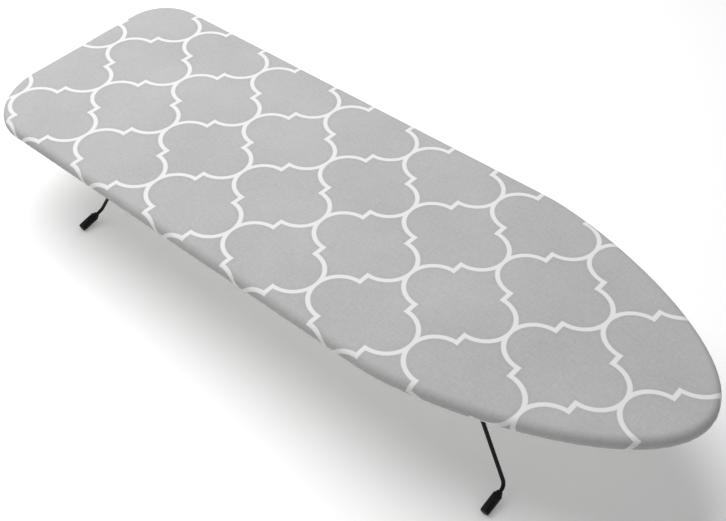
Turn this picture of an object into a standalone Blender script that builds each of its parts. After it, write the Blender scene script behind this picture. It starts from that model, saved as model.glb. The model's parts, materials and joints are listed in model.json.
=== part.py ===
"""A tabletop ironing board on two folding wire legs.

Metres, +Z up. X runs along the board towards its pointed nose, Y across it.
The origin is on the table, under the middle of the board.
"""

from math import atan2, cos, hypot, pi, sin, sqrt, tan

import bmesh
import bpy
from mathutils import Matrix, Vector

# The board's outline
BOARD_LENGTH = 0.913
BOARD_WIDTH = 0.316
SURFACE_HEIGHT = 0.145
NOSE_LENGTH = 0.2840
NOSE_SHOULDER_PULL = 0.0721
NOSE_TIP_PULL = 0.0948
NOSE_STEPS = 12
TAIL_CORNER_RADIUS = {"near": 0.0900, "far": 0.0600}
TAIL_SKEW = 0.0092
TAIL_SKEW_LENGTH = 0.1187
SMALLEST_CORNER = 0.004
CORNER_STEPS = 6

# The layers, from the ironing surface down
GAP = 0.0003
RIM_GAP = 0.0005
COVER_THICKNESS = 0.0009
PAD_THICKNESS = 0.0040
SHEET_THICKNESS = 0.0009
RIM_DIAMETER = 0.0060
STEEL_THICKNESS = 0.0010
EDGE_ROUND_ACROSS = 0.0085
EDGE_ROUND_DOWN = 0.0080
EDGE_ROUND_STEPS = 4
LOWER_ROUND_STEPS = 3
LIP_WIDTH = 0.0300
LIP_DROP = 0.0030
HEM_WIDTH = 0.0035
HEM_ROUND = 0.0006
ELASTIC_DIAMETER = 0.0016
ELASTIC_FROM_HEM = 0.0022
PAD_EDGE_GAP = 0.0013
PAD_STEPS = 3
SHEET_EDGE_GAP = 0.0011

# The vent holes in the steel sheet
VENT_RADIUS = 0.0110
VENT_PITCH = 0.0440
VENT_SIDES = 6
VENT_MARGIN = 0.0070

# The folding legs
LEG_WIRE_DIAMETER = 0.0045
LEGS_FORWARD = 0.0035
PIVOT_FROM_END = 0.2082
PIVOT_BELOW_FRAME = 0.0128
FOOT_SPREAD = 0.0634
LEG_TOP_FROM_EDGE = 0.0513
LEG_BEND_FROM_EDGE = 0.0405
FOOT_WIRE_SHOWN = 0.0010
FOOT_DROOP = 0.247
LEG_BEND_RADIUS = 0.009
BEND_STEPS = 4
FOLDED_DROOP = 1.75 * pi / 180

# The foot caps
CAP_LENGTH = 0.0265
CAP_RADIUS = 0.0052
CAP_NECK_RADIUS = 0.0034
CAP_NECK_LENGTH = 0.0040
CAP_END_THICKNESS = 0.0040
CAP_END_ROUND = 0.0016
CAP_STEPS = 20

# The pressed steel under the sheet
CHANNEL_WIDTH = 0.034
CHANNEL_END_GAP = 0.0015
CHANNEL_FOLD = 0.0015
BRACE_WIDTH = 0.020
BRACKET_THICKNESS = 0.0015
BRACKET_LENGTH = 0.028
BRACKET_INNER_MARGIN = 0.004
BRACKET_OUTER_MARGIN = 0.002
BRACKET_RIVET_SPACING = 0.015
EAR_RADIUS = 0.0055
EAR_STEPS = 8
EAR_HOLE_CLEARANCE = 0.00006
EAR_HOLE_SIDES = 16
INNER_EAR_FROM_CORNER = 0.024
OUTER_EAR_FROM_CORNER = 0.0105
STOP_FROM_EAR = 0.0035
STOP_REACH = 0.012

# The storage clips and the rivets
CLIP_FROM_PIVOT = 0.100
CLIP_WIDTH = 0.008
CLIP_WALL = 0.0016
CLIP_SLACK = 0.0006
CLIP_TAB = 0.0155
CLIP_TIP_FLARE = 0.0008
CLIP_TIP_LEAD = 0.0018
CLIP_RIVET_ALONG_TAB = 0.62
RIVET_RADIUS = 0.0018
RIVET_HEAD_RADIUS = 0.0034
RIVET_HEAD_HEIGHT = 0.0018
RIVET_TAIL_RADIUS = 0.0029
RIVET_TAIL_HEIGHT = 0.0012
RIVET_STEPS = 12
RIVET_HOLE_REACH = 0.0035

# Levels that follow from the layers
PAD_TOP = SURFACE_HEIGHT - COVER_THICKNESS - GAP
PAD_BOTTOM = PAD_TOP - PAD_THICKNESS
SHEET_TOP = PAD_BOTTOM - GAP
SHEET_BOTTOM = SHEET_TOP - SHEET_THICKNESS
FRAME_TOP = SHEET_BOTTOM - GAP
FRAME_BOTTOM = FRAME_TOP - RIM_DIAMETER
COVER_BOTTOM = FRAME_BOTTOM - RIM_GAP - COVER_THICKNESS
RIM_INSET = COVER_THICKNESS + RIM_GAP + RIM_DIAMETER / 2
LOWER_ROUND = RIM_INSET

SIDES = {"near": -1, "far": 1}
ENDS = {"nose": 1, "tail": -1}

ACROSS_FROM_UP = Matrix.Rotation(pi / 2, 4, "X")


def clear_scene():
    for obj in list(bpy.data.objects):
        bpy.data.objects.remove(obj, do_unlink=True)


def new_collection(name):
    collection = bpy.data.collections.new(name)
    bpy.context.scene.collection.children.link(collection)
    return collection


def material(name, color, roughness, metallic=0.0):
    made = bpy.data.materials.new(name)
    made.use_nodes = True
    shader = made.node_tree.nodes["Principled BSDF"]
    shader.inputs["Base Color"].default_value = (*color, 1.0)
    shader.inputs["Roughness"].default_value = roughness
    shader.inputs["Metallic"].default_value = metallic
    made.diffuse_color = (*color, 1.0)
    return made


# Objects


def add_object(name, data, made_of=None, collection=None):
    obj = bpy.data.objects.new(name, data)
    (collection or PARTS).objects.link(obj)
    if made_of:
        data.materials.append(made_of)
    return obj


def as_mesh(obj):
    """The evaluated shape of an object as a plain mesh object of the same name."""
    bpy.context.view_layer.update()
    graph = bpy.context.evaluated_depsgraph_get()
    mesh = bpy.data.meshes.new_from_object(obj.evaluated_get(graph))
    welded = bmesh.new()
    welded.from_mesh(mesh)
    bmesh.ops.remove_doubles(welded, verts=welded.verts, dist=0.000001)
    welded.to_mesh(mesh)
    welded.free()
    name = obj.name
    place = obj.matrix_world.copy()
    home = obj.users_collection[0]
    bpy.data.objects.remove(obj, do_unlink=True)
    made = bpy.data.objects.new(name, mesh)
    home.objects.link(made)
    made.matrix_world = place
    return made


def shade_round(obj, angle=40 * pi / 180):
    obj.data.shade_smooth()
    obj.data.set_sharp_from_angle(angle=angle)
    return obj


def as_cutter(obj):
    obj.hide_render = True
    obj.display_type = "WIRE"
    return obj


def combine(obj, other, operation):
    """Cuts or joins another mesh object into this one."""
    modifier = obj.modifiers.new(operation.lower(), "BOOLEAN")
    modifier.operation = operation
    modifier.object = as_cutter(other)


def box(name, size, centre, made_of=None, collection=None):
    mesh = bpy.data.meshes.new(name)
    shape = bmesh.new()
    bmesh.ops.create_cube(shape, size=1.0)
    bmesh.ops.scale(shape, vec=size, verts=shape.verts)
    shape.to_mesh(mesh)
    shape.free()
    obj = add_object(name, mesh, made_of, collection)
    obj.location = centre
    return obj


def cut_rivet_hole(obj, name, x, y, level):
    """Cuts an upright clearance hole for a rivet through a plate at this level."""
    radius = RIVET_RADIUS + GAP
    mesh = bpy.data.meshes.new(name)
    shape = bmesh.new()
    bmesh.ops.create_cone(
        shape,
        cap_ends=True,
        segments=RIVET_STEPS,
        radius1=radius,
        radius2=radius,
        depth=2 * RIVET_HOLE_REACH,
    )
    shape.to_mesh(mesh)
    shape.free()
    cutter = add_object(name, mesh, None, CUTTERS)
    cutter.location = (x, y, level)
    combine(obj, cutter, "DIFFERENCE")


def curve(name, points, made_of=None, closed=False, dimensions="3D", collection=None):
    data = bpy.data.curves.new(name, "CURVE")
    data.dimensions = dimensions
    add_spline(data, points, closed)
    return add_object(name, data, made_of, collection)


def add_spline(data, points, closed):
    spline = data.splines.new("POLY")
    spline.points.add(len(points) - 1)
    for place, point in zip(spline.points, points):
        place.co = (*point, *[0.0] * (3 - len(point)), 1.0)
    spline.use_cyclic_u = closed


def plate(name, outline_points, thickness, made_of=None, holes=(), collection=None):
    """A flat plate from its outline, centred on its own XY plane."""
    obj = curve(name, outline_points, made_of, True, "2D", collection)
    for hole in holes:
        add_spline(obj.data, hole, True)
    obj.data.fill_mode = "BOTH"
    obj.data.extrude = thickness / 2
    return obj


def wire(name, points, diameter, made_of, resolution, closed=False):
    obj = curve(name, points, made_of, closed)
    obj.data.bevel_depth = diameter / 2
    obj.data.bevel_resolution = resolution
    obj.data.use_fill_caps = not closed
    return obj


def turned(name, profile, steps, made_of):
    """A solid of revolution about its own Z from (radius, height) pairs, outer side downwards."""
    mesh = bpy.data.meshes.new(name)
    points = [(radius, 0.0, height) for radius, height in profile]
    mesh.from_pydata(points, [(i, i + 1) for i in range(len(points) - 1)], [])
    obj = add_object(name, mesh, made_of)
    screw = obj.modifiers.new("turn", "SCREW")
    screw.steps = steps
    screw.render_steps = steps
    screw.use_merge_vertices = True
    screw.merge_threshold = 0.00001
    screw.use_smooth_shade = True
    return obj


def ring(radius, sides, x=0.0, y=0.0):
    return [
        (x + radius * cos(2 * pi * (i + 0.5) / sides), y + radius * sin(2 * pi * (i + 0.5) / sides))
        for i in range(sides)
    ]


# The outline that every layer follows


def nose_point(share, inset):
    """A point on the far half of the nose, one Bezier curve from the straight side to the tip."""
    half_width = BOARD_WIDTH / 2
    tip = BOARD_LENGTH / 2
    handles = [
        Vector((tip - NOSE_LENGTH, half_width)),
        Vector((tip - NOSE_LENGTH + NOSE_SHOULDER_PULL, half_width)),
        Vector((tip, NOSE_TIP_PULL)),
        Vector((tip, 0.0)),
    ]
    rest = 1 - share
    weights = (rest**3, 3 * rest**2 * share, 3 * rest * share**2, share**3)
    point = sum((handle * weight for handle, weight in zip(handles, weights)), Vector((0.0, 0.0)))
    slopes = (rest**2, 2 * rest * share, share**2)
    runs = [after - before for before, after in zip(handles, handles[1:])]
    along = sum((run * weight for run, weight in zip(runs, slopes)), Vector((0.0, 0.0)))
    along.normalize()
    return point + Vector((along.y, -along.x)) * inset


def tail_corner(side, inset):
    """One rounded corner of a square tail, anticlockwise, with the tail edge at x = 0."""
    across = SIDES[side]
    radius = max(TAIL_CORNER_RADIUS[side] - inset, SMALLEST_CORNER)
    middle = across * (BOARD_WIDTH / 2 - inset - radius)
    first = pi / 2 if side == "far" else pi
    turns = [first + step / CORNER_STEPS * pi / 2 for step in range(CORNER_STEPS + 1)]
    return [(inset + radius + radius * cos(turn), middle + radius * sin(turn)) for turn in turns]


def askew(point):
    """The tail is cut a little askew: its far corner reaches further back than its near one."""
    share = min(max(1 - point[0] / TAIL_SKEW_LENGTH, 0.0), 1.0)
    return (point[0] - TAIL_SKEW * share * point[1] / (BOARD_WIDTH / 2), point[1])


def tail_points(inset):
    return [askew(point) for side in ("far", "near") for point in tail_corner(side, inset)]


def outline(inset):
    """The board's outline drawn in by an inset, anticlockwise from the near end of the nose curve."""
    far_nose = [nose_point(step / NOSE_STEPS, inset) for step in range(NOSE_STEPS + 1)]
    points = [(p.x, -p.y) for p in far_nose[:-1]]
    points += [(p.x, p.y) for p in reversed(far_nose)]
    tail_line = -BOARD_LENGTH / 2 - min(x for x, _ in tail_points(0.0))
    points += [(tail_line + x, y) for x, y in tail_points(inset)]
    return points


def inside(x, y, corners):
    """Whether a point is inside an anticlockwise outline with no hollows."""
    edges = zip(corners, corners[1:] + corners[:1])
    return all((b[0] - a[0]) * (y - a[1]) > (b[1] - a[1]) * (x - a[0]) for a, b in edges)


def half_width_at(x, inset):
    """Half the outline's width at a place along the board, 0 beyond its nose."""
    far_nose = [nose_point(step / NOSE_STEPS, inset) for step in range(NOSE_STEPS + 1)]
    if x <= far_nose[0].x:
        return far_nose[0].y
    for before, after in zip(far_nose, far_nose[1:]):
        if x <= after.x:
            share = (x - before.x) / (after.x - before.x)
            return before.y + share * (after.y - before.y)
    return 0.0


def stacked_outlines(name, levels, made_of, close_start, close_end):
    """A surface through the outlines at (inset, height) levels, each joined to the next."""
    shape = bmesh.new()
    rows = [
        [shape.verts.new((x, y, height)) for x, y in outline(inset)] for inset, height in levels
    ]
    for upper, lower in zip(rows, rows[1:]):
        for i in range(len(upper)):
            shape.faces.new((upper[i - 1], lower[i - 1], lower[i], upper[i]))
    if close_start:
        shape.faces.new(rows[0])
    if close_end:
        shape.faces.new(reversed(rows[-1]))
    mesh = bpy.data.meshes.new(name)
    shape.to_mesh(mesh)
    shape.free()
    return add_object(name, mesh, made_of)


# The cover, its elastic and the pad


def edge_levels():
    """The cover's outer face from its flat top, round the edge and in under the board."""
    levels = []
    for step in range(EDGE_ROUND_STEPS + 1):
        turn = step / EDGE_ROUND_STEPS * pi / 2
        levels.append(
            (
                EDGE_ROUND_ACROSS * (1 - sin(turn)),
                SURFACE_HEIGHT - EDGE_ROUND_DOWN * (1 - cos(turn)),
            )
        )
    for step in range(LOWER_ROUND_STEPS + 1):
        turn = step / LOWER_ROUND_STEPS * pi / 2
        levels.append(
            (LOWER_ROUND * (1 - cos(turn)), COVER_BOTTOM + LOWER_ROUND * (1 - sin(turn)))
        )
    return levels


def hem_levels():
    """The cover's lip, which slopes down and then curls up round the elastic."""
    low = COVER_BOTTOM - LIP_DROP
    high = FRAME_BOTTOM - GAP
    return [
        (LIP_WIDTH - HEM_WIDTH, low),
        (LIP_WIDTH - HEM_ROUND, low),
        (LIP_WIDTH + HEM_ROUND, (low + high) / 2),
        (LIP_WIDTH - HEM_ROUND, high),
        (LIP_WIDTH - HEM_WIDTH, high),
    ]


def make_cover():
    obj = stacked_outlines("board_cover", edge_levels() + hem_levels(), CLOTH, True, False)
    shell = obj.modifiers.new("cloth thickness", "SOLIDIFY")
    shell.thickness = COVER_THICKNESS
    shell.offset = -1.0
    shade_round(obj)


def make_elastic():
    height = (COVER_BOTTOM - LIP_DROP + FRAME_BOTTOM - GAP) / 2
    points = [(x, y, height) for x, y in outline(LIP_WIDTH - ELASTIC_FROM_HEM)]
    wire("hem_elastic", points, ELASTIC_DIAMETER, ELASTIC, 1, closed=True)


def pad_levels():
    """The pad's side, which keeps inside the cover's rounded edge, from its top down."""
    across = EDGE_ROUND_ACROSS - COVER_THICKNESS - PAD_EDGE_GAP
    down = EDGE_ROUND_DOWN - COVER_THICKNESS - GAP
    levels = []
    for step in range(PAD_STEPS + 1):
        depth = PAD_THICKNESS * step / PAD_STEPS
        rise = max(1 - depth / down, 0.0)
        levels.append((EDGE_ROUND_ACROSS - across * sqrt(1 - rise**2), PAD_TOP - depth))
    return levels


def make_pad():
    shade_round(stacked_outlines("foam_pad", pad_levels(), FOAM, True, True))


# The steel top


def vent_centres():
    """Staggered rows of vents, kept clear of the rim."""
    row_pitch = VENT_PITCH * sin(pi / 3)
    rows = int(BOARD_WIDTH / 2 / row_pitch)
    columns = int(BOARD_LENGTH / 2 / VENT_PITCH)
    limit = outline(RIM_INSET + RIM_DIAMETER / 2 + VENT_MARGIN + VENT_RADIUS)
    centres = []
    for row in range(-rows, rows + 1):
        shift = VENT_PITCH / 2 if row % 2 else 0.0
        for column in range(-columns - 1, columns + 1):
            x = column * VENT_PITCH + shift
            y = row * row_pitch
            if inside(x, y, limit):
                centres.append((x, y))
    return centres


def make_sheet():
    holes = [ring(VENT_RADIUS, VENT_SIDES, x, y) for x, y in vent_centres()]
    outer = outline(COVER_THICKNESS + SHEET_EDGE_GAP)
    obj = plate("steel_top_sheet", outer, SHEET_THICKNESS, STEEL, holes)
    obj.location.z = (SHEET_TOP + SHEET_BOTTOM) / 2


def make_rim():
    height = (FRAME_TOP + FRAME_BOTTOM) / 2
    points = [(x, y, height) for x, y in outline(RIM_INSET)]
    wire("rim_tube", points, RIM_DIAMETER, STEEL, 2, closed=True)


def make_channel(name, x, width, rivets):
    """A pressed channel across the board, open upwards, its edges against the sheet's underside."""
    reach = half_width_at(x + width / 2, RIM_INSET + RIM_DIAMETER / 2) - CHANNEL_END_GAP
    half = width / 2
    profile = [
        (-half, FRAME_TOP),
        (-half, FRAME_BOTTOM + CHANNEL_FOLD),
        (-half + CHANNEL_FOLD, FRAME_BOTTOM),
        (half - CHANNEL_FOLD, FRAME_BOTTOM),
        (half, FRAME_BOTTOM + CHANNEL_FOLD),
        (half, FRAME_TOP),
    ]
    strip = curve(name, profile, STEEL)
    strip.data.extrude = reach
    strip.matrix_world = Matrix.Translation((x, 0.0, 0.0)) @ ACROSS_FROM_UP
    obj = as_mesh(strip)
    shell = obj.modifiers.new("sheet thickness", "SOLIDIFY")
    shell.thickness = STEEL_THICKNESS
    shell.offset = 1.0
    web_level = FRAME_BOTTOM + STEEL_THICKNESS / 2
    for number, (rivet_x, rivet_y) in enumerate(rivets):
        cut_rivet_hole(obj, f"{name}_hole_{number + 1}", rivet_x, rivet_y, web_level)


def make_rivet(name, place, under):
    """A rivet from under a plate, through it and through a channel's web."""
    head_top = under - GAP
    tail_bottom = FRAME_BOTTOM + STEEL_THICKNESS + GAP
    profile = [
        (0.0, tail_bottom + RIVET_TAIL_HEIGHT),
        (RIVET_TAIL_RADIUS * 0.85, tail_bottom + RIVET_TAIL_HEIGHT),
        (RIVET_TAIL_RADIUS, tail_bottom),
        (RIVET_RADIUS, tail_bottom),
        (RIVET_RADIUS, head_top),
        (RIVET_HEAD_RADIUS, head_top),
        (RIVET_HEAD_RADIUS * 0.8, head_top - RIVET_HEAD_HEIGHT * 0.65),
        (0.0, head_top - RIVET_HEAD_HEIGHT),
    ]
    obj = turned(name, [(r, h - under) for r, h in profile], RIVET_STEPS, RIVET_STEEL)
    obj.location = (*place, under)


# The legs, whose places are measured from the middle of the board


def foot_reach():
    """How far out a foot reaches past its bend: the bend's rounding, some bare wire and the cap."""
    lean = hypot(1.0, FOOT_DROOP)
    rounding = LEG_BEND_RADIUS * (lean - FOOT_DROOP)
    return (rounding + FOOT_WIRE_SHOWN + CAP_LENGTH) / lean


PIVOT_HEIGHT = FRAME_BOTTOM - PIVOT_BELOW_FRAME
PIVOT_ALONG = BOARD_LENGTH / 2 - PIVOT_FROM_END
FOOT_ALONG = PIVOT_ALONG + FOOT_SPREAD
EDGE_AT_LEGS = half_width_at(LEGS_FORWARD + PIVOT_ALONG + CHANNEL_WIDTH / 2, 0.0)
LEG_TOP_ACROSS = EDGE_AT_LEGS - LEG_TOP_FROM_EDGE
LEG_BEND_ACROSS = EDGE_AT_LEGS - LEG_BEND_FROM_EDGE
FOOT_ACROSS = LEG_BEND_ACROSS + foot_reach()


def leg_slope():
    """The angle that an open leg leans outwards from upright."""
    return atan2(FOOT_ALONG - PIVOT_ALONG, PIVOT_HEIGHT - bend_height())


def foot_direction():
    """From the bend out to the end of a near foot: across the board and a little down."""
    return Vector((0.0, -1.0, -FOOT_DROOP)).normalized()


def cap_profile():
    """(radius, distance from the closed end) from the bottom of the bore, round to the end."""
    bore = LEG_WIRE_DIAMETER / 2 + GAP / 2
    return [
        (0.0, CAP_END_THICKNESS),
        (bore, CAP_END_THICKNESS),
        (bore, CAP_LENGTH),
        (CAP_NECK_RADIUS, CAP_LENGTH),
        (CAP_NECK_RADIUS + 0.0003, CAP_LENGTH - CAP_NECK_LENGTH * 0.5),
        (CAP_RADIUS, CAP_LENGTH - CAP_NECK_LENGTH),
        (CAP_RADIUS, CAP_END_ROUND),
        (CAP_RADIUS * 0.93, CAP_END_ROUND * 0.3),
        (CAP_RADIUS * 0.80, 0.0),
        (0.0, 0.0),
    ]


def foot_end():
    """The middle of a near foot's closed end, for the nose leg, with the cap's edge on the table."""
    down = -foot_direction().z
    level = -foot_direction().y
    lift = max(radius * level - along * down for radius, along in cap_profile())
    return Vector((FOOT_ALONG, -FOOT_ACROSS, lift))


def bend_height():
    return foot_end().z + (FOOT_ACROSS - LEG_BEND_ACROSS) * FOOT_DROOP


def rounded_corner(before, corner, after, radius):
    """Points along the arc that rounds a corner between two straight runs."""
    back = (before - corner).normalized()
    on = (after - corner).normalized()
    half = back.angle(on) / 2
    middle = corner + (back + on).normalized() * radius / sin(half)
    first = corner + back * radius / tan(half) - middle
    last = corner + on * radius / tan(half) - middle
    turn = first.angle(last)
    points = []
    for step in range(BEND_STEPS + 1):
        share = step / BEND_STEPS
        arm = (first * sin((1 - share) * turn) + last * sin(share * turn)) / sin(turn)
        points.append(middle + arm)
    return points


def leg_route():
    """The nose leg's wire, from inside its near cap, over the pivot and down to the far one."""
    end = foot_end() - foot_direction() * (CAP_END_THICKNESS + GAP)
    bend = Vector((FOOT_ALONG, -LEG_BEND_ACROSS, bend_height()))
    shoulder = Vector((PIVOT_ALONG, -LEG_TOP_ACROSS, PIVOT_HEIGHT))
    middle = Vector((PIVOT_ALONG, 0.0, PIVOT_HEIGHT))
    half = [end]
    half += rounded_corner(end, bend, shoulder, LEG_BEND_RADIUS)
    half += rounded_corner(bend, shoulder, middle, LEG_BEND_RADIUS)
    mirrored = [Vector((p.x, -p.y, p.z)) for p in reversed(half)]
    return half + mirrored


def along_from_middle(direction, distance):
    """Where something at a distance from the middle of the legs lies along the board."""
    return LEGS_FORWARD + direction * distance


def hinge_empty(end, direction):
    """An empty on a leg's pivot line, which the leg's pieces hang from."""
    hinge = add_object(f"{end}_leg_hinge", None)
    hinge.location = (along_from_middle(direction, PIVOT_ALONG), 0.0, PIVOT_HEIGHT)
    return hinge


def make_leg(end, direction):
    hinge = hinge_empty(end, direction)
    offset = Vector((PIVOT_ALONG, 0.0, PIVOT_HEIGHT))
    points = [p - offset for p in leg_route()]
    points = [Vector((direction * p.x, p.y, p.z)) for p in points]
    rod = wire(f"{end}_leg_wire", points, LEG_WIRE_DIAMETER, BLACK_WIRE, 4)
    rod.parent = hinge
    for side, across in SIDES.items():
        cap = turned(f"{end}_{side}_foot_cap", cap_profile(), CAP_STEPS, BLACK_CAP)
        out = foot_direction()
        away = Vector((0.0, across * -out.y, out.z))
        up_axis = -away
        along_axis = Vector((1.0, 0.0, 0.0))
        across_axis = up_axis.cross(along_axis)
        turn = Matrix((across_axis, -along_axis, up_axis)).transposed().to_4x4()
        place = foot_end() - offset
        where = Matrix.Translation((direction * place.x, across * -place.y, place.z))
        cap.parent = hinge
        cap.matrix_local = where @ turn
        shade_round(cap)


# The brackets that the legs turn in


def bracket_ears():
    """How far out each ear of a near bracket stands."""
    return (LEG_TOP_ACROSS - INNER_EAR_FROM_CORNER, LEG_TOP_ACROSS - OUTER_EAR_FROM_CORNER)


def bracket_rivets():
    """(along, across) of a bracket's two rivets, from the middle of its channel."""
    across = sum(bracket_ears()) / 2
    return [(-BRACKET_RIVET_SPACING / 2, across), (BRACKET_RIVET_SPACING / 2, across)]


def make_ear(name, across):
    """One ear of a bracket, with a clearance hole for the leg wire, round below."""
    hole = (LEG_WIRE_DIAMETER / 2 + EAR_HOLE_CLEARANCE) / cos(pi / EAR_HOLE_SIDES)
    top = FRAME_BOTTOM - GAP - BRACKET_THICKNESS / 2 - PIVOT_HEIGHT
    turns = [-pi * step / EAR_STEPS for step in range(EAR_STEPS + 1)]
    arc = [(EAR_RADIUS * cos(turn), EAR_RADIUS * sin(turn)) for turn in turns]
    points = arc + [(-EAR_RADIUS, top), (EAR_RADIUS, top)]
    obj = plate(name, points, BRACKET_THICKNESS, STEEL, [ring(hole, EAR_HOLE_SIDES)], CUTTERS)
    obj.matrix_world = Matrix.Translation((PIVOT_ALONG, -across, PIVOT_HEIGHT)) @ ACROSS_FROM_UP
    return as_mesh(obj)


def make_bracket_mesh():
    """The near nose bracket: a base plate, two ears and the flange that an open leg rests on."""
    base_level = FRAME_BOTTOM - GAP - BRACKET_THICKNESS / 2
    inner = bracket_ears()[0] - BRACKET_INNER_MARGIN
    outer = LEG_BEND_ACROSS + BRACKET_OUTER_MARGIN
    base = box(
        "bracket_base",
        (BRACKET_LENGTH, outer - inner, BRACKET_THICKNESS),
        (PIVOT_ALONG, -(inner + outer) / 2, base_level),
        STEEL,
        CUTTERS,
    )
    for number, across in enumerate(bracket_ears()):
        combine(base, make_ear(f"bracket_ear_{number + 1}", across), "UNION")
    slope = leg_slope()
    down = Vector((sin(slope), 0.0, -cos(slope)))
    out = Vector((cos(slope), 0.0, sin(slope)))
    offset = LEG_WIRE_DIAMETER / 2 + GAP + BRACKET_THICKNESS / 2
    pivot = Vector((PIVOT_ALONG, 0.0, PIVOT_HEIGHT))
    climb = (base_level - PIVOT_HEIGHT - offset * out.z) / cos(slope)
    flange_inner = bracket_ears()[1] + STOP_FROM_EAR
    flange = box(
        "bracket_stop",
        (BRACKET_THICKNESS, outer - flange_inner, climb + STOP_REACH),
        pivot + out * offset + down * (STOP_REACH - climb) / 2,
        STEEL,
        CUTTERS,
    )
    flange.location.y = -(flange_inner + outer) / 2
    flange.rotation_euler = (0.0, -slope, 0.0)
    combine(base, flange, "UNION")
    for number, (along, across) in enumerate(bracket_rivets()):
        hole_name = f"bracket_hole_{number + 1}"
        cut_rivet_hole(base, hole_name, PIVOT_ALONG + along, -across, base_level)
    made = as_mesh(base)
    mesh = made.data
    mesh.transform(made.matrix_world)
    bpy.data.objects.remove(made, do_unlink=True)
    return mesh


def add_mirrored(name, mesh, end, side):
    """A copy of a near nose piece for another corner of the board."""
    copy = mesh.copy()
    shift = Matrix.Translation((along_from_middle(end, 0.0), 0.0, 0.0))
    copy.transform(shift @ Matrix.Diagonal((end, -side, 1.0, 1.0)))
    if end * -side < 0:
        copy.flip_normals()
    add_object(name, copy)


# The clips that hold a folded leg


def clip_along():
    return PIVOT_ALONG - CLIP_FROM_PIVOT


def clip_across():
    """How far out the folded leg's side run lies where the clip takes it."""
    run = hypot(FOOT_ALONG - PIVOT_ALONG, PIVOT_HEIGHT - bend_height())
    return LEG_TOP_ACROSS + (LEG_BEND_ACROSS - LEG_TOP_ACROSS) * CLIP_FROM_PIVOT / run


def make_clip_mesh():
    """The near nose clip, an upturned U with a riveted tab, pressed from plastic."""
    sag = CLIP_FROM_PIVOT * sin(FOLDED_DROOP)
    wire_level = PIVOT_HEIGHT - sag
    gap = LEG_WIRE_DIAMETER / 2 + CLIP_SLACK
    wall = gap + CLIP_WALL
    top = FRAME_BOTTOM - GAP
    low = wire_level - LEG_WIRE_DIAMETER
    lead = low + CLIP_TIP_LEAD
    flare = wall + CLIP_TIP_FLARE
    points = [
        (-wall, top),
        (-wall, lead - GAP),
        (-flare, low + GAP),
        (-(gap + flare) / 2, low),
        (-gap, lead),
        (-gap, top - 2 * CLIP_WALL),
        (gap, top - 2 * CLIP_WALL),
        (gap, lead),
        ((gap + flare) / 2, low),
        (flare, low + GAP),
        (wall, lead - GAP),
        (wall, top - CLIP_WALL),
        (wall + CLIP_TAB, top - CLIP_WALL),
        (wall + CLIP_TAB, top),
    ]
    obj = plate("clip_shape", points, CLIP_WIDTH, PLASTIC, collection=CUTTERS)
    turn = Matrix(((0, 0, 1, 0), (1, 0, 0, 0), (0, 1, 0, 0), (0, 0, 0, 1)))
    obj.matrix_world = Matrix.Translation((clip_along(), -clip_across(), 0.0)) @ turn
    clip = as_mesh(obj)
    cut_rivet_hole(clip, "clip_hole", clip_along(), -clip_rivet_across(), top - CLIP_WALL / 2)
    made = as_mesh(clip)
    mesh = made.data
    mesh.transform(made.matrix_world)
    bpy.data.objects.remove(made, do_unlink=True)
    return mesh


def clip_rivet_across():
    """How far out a clip's rivet is, on the tab that points to the middle of the board."""
    wall = LEG_WIRE_DIAMETER / 2 + CLIP_SLACK + CLIP_WALL
    return clip_across() - wall - CLIP_TAB * CLIP_RIVET_ALONG_TAB


def make_corner(end, side, bracket, clip):
    """The bracket, the clip and their rivets at one corner. It returns where the rivets are."""
    direction = ENDS[end]
    across = SIDES[side]
    add_mirrored(f"{end}_{side}_leg_bracket", bracket, direction, across)
    add_mirrored(f"{end}_{side}_storage_clip", clip, direction, across)
    bracket_under = FRAME_BOTTOM - GAP - BRACKET_THICKNESS
    bracket_places = []
    for number, (along, out) in enumerate(bracket_rivets()):
        place = (along_from_middle(direction, PIVOT_ALONG + along), across * out)
        make_rivet(f"{end}_{side}_bracket_rivet_{number + 1}", place, bracket_under)
        bracket_places.append(place)
    clip_place = (along_from_middle(direction, clip_along()), across * clip_rivet_across())
    make_rivet(f"{end}_{side}_clip_rivet", clip_place, FRAME_BOTTOM - GAP - CLIP_WALL)
    return bracket_places, [clip_place]


def make_underside():
    bracket = make_bracket_mesh()
    clip = make_clip_mesh()
    for end, direction in ENDS.items():
        channel_rivets = []
        brace_rivets = []
        for side in SIDES:
            in_channel, in_brace = make_corner(end, side, bracket, clip)
            channel_rivets += in_channel
            brace_rivets += in_brace
        pivot = along_from_middle(direction, PIVOT_ALONG)
        clips = along_from_middle(direction, clip_along())
        make_channel(f"{end}_leg_channel", pivot, CHANNEL_WIDTH, channel_rivets)
        make_channel(f"{end}_clip_brace", clips, BRACE_WIDTH, brace_rivets)


clear_scene()
PARTS = new_collection("ironing_board")
CUTTERS = new_collection("cutters")
CUTTERS.hide_render = True

CLOTH = material("printed cotton", (0.50, 0.50, 0.51), 0.85)
FOAM = material("pale foam", (0.82, 0.80, 0.74), 0.95)
ELASTIC = material("white elastic", (0.86, 0.86, 0.84), 0.80)
STEEL = material("white painted steel", (0.78, 0.78, 0.77), 0.45)
RIVET_STEEL = material("zinc-plated steel", (0.62, 0.62, 0.60), 0.35, 1.0)
BLACK_WIRE = material("black painted wire", (0.015, 0.015, 0.016), 0.38)
BLACK_CAP = material("black rubbery plastic", (0.02, 0.02, 0.02), 0.55)
PLASTIC = material("white nylon", (0.85, 0.85, 0.83), 0.50)

make_cover()
make_elastic()
make_pad()
make_sheet()
make_rim()
make_underside()
for end_name, end_direction in ENDS.items():
    make_leg(end_name, end_direction)
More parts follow.
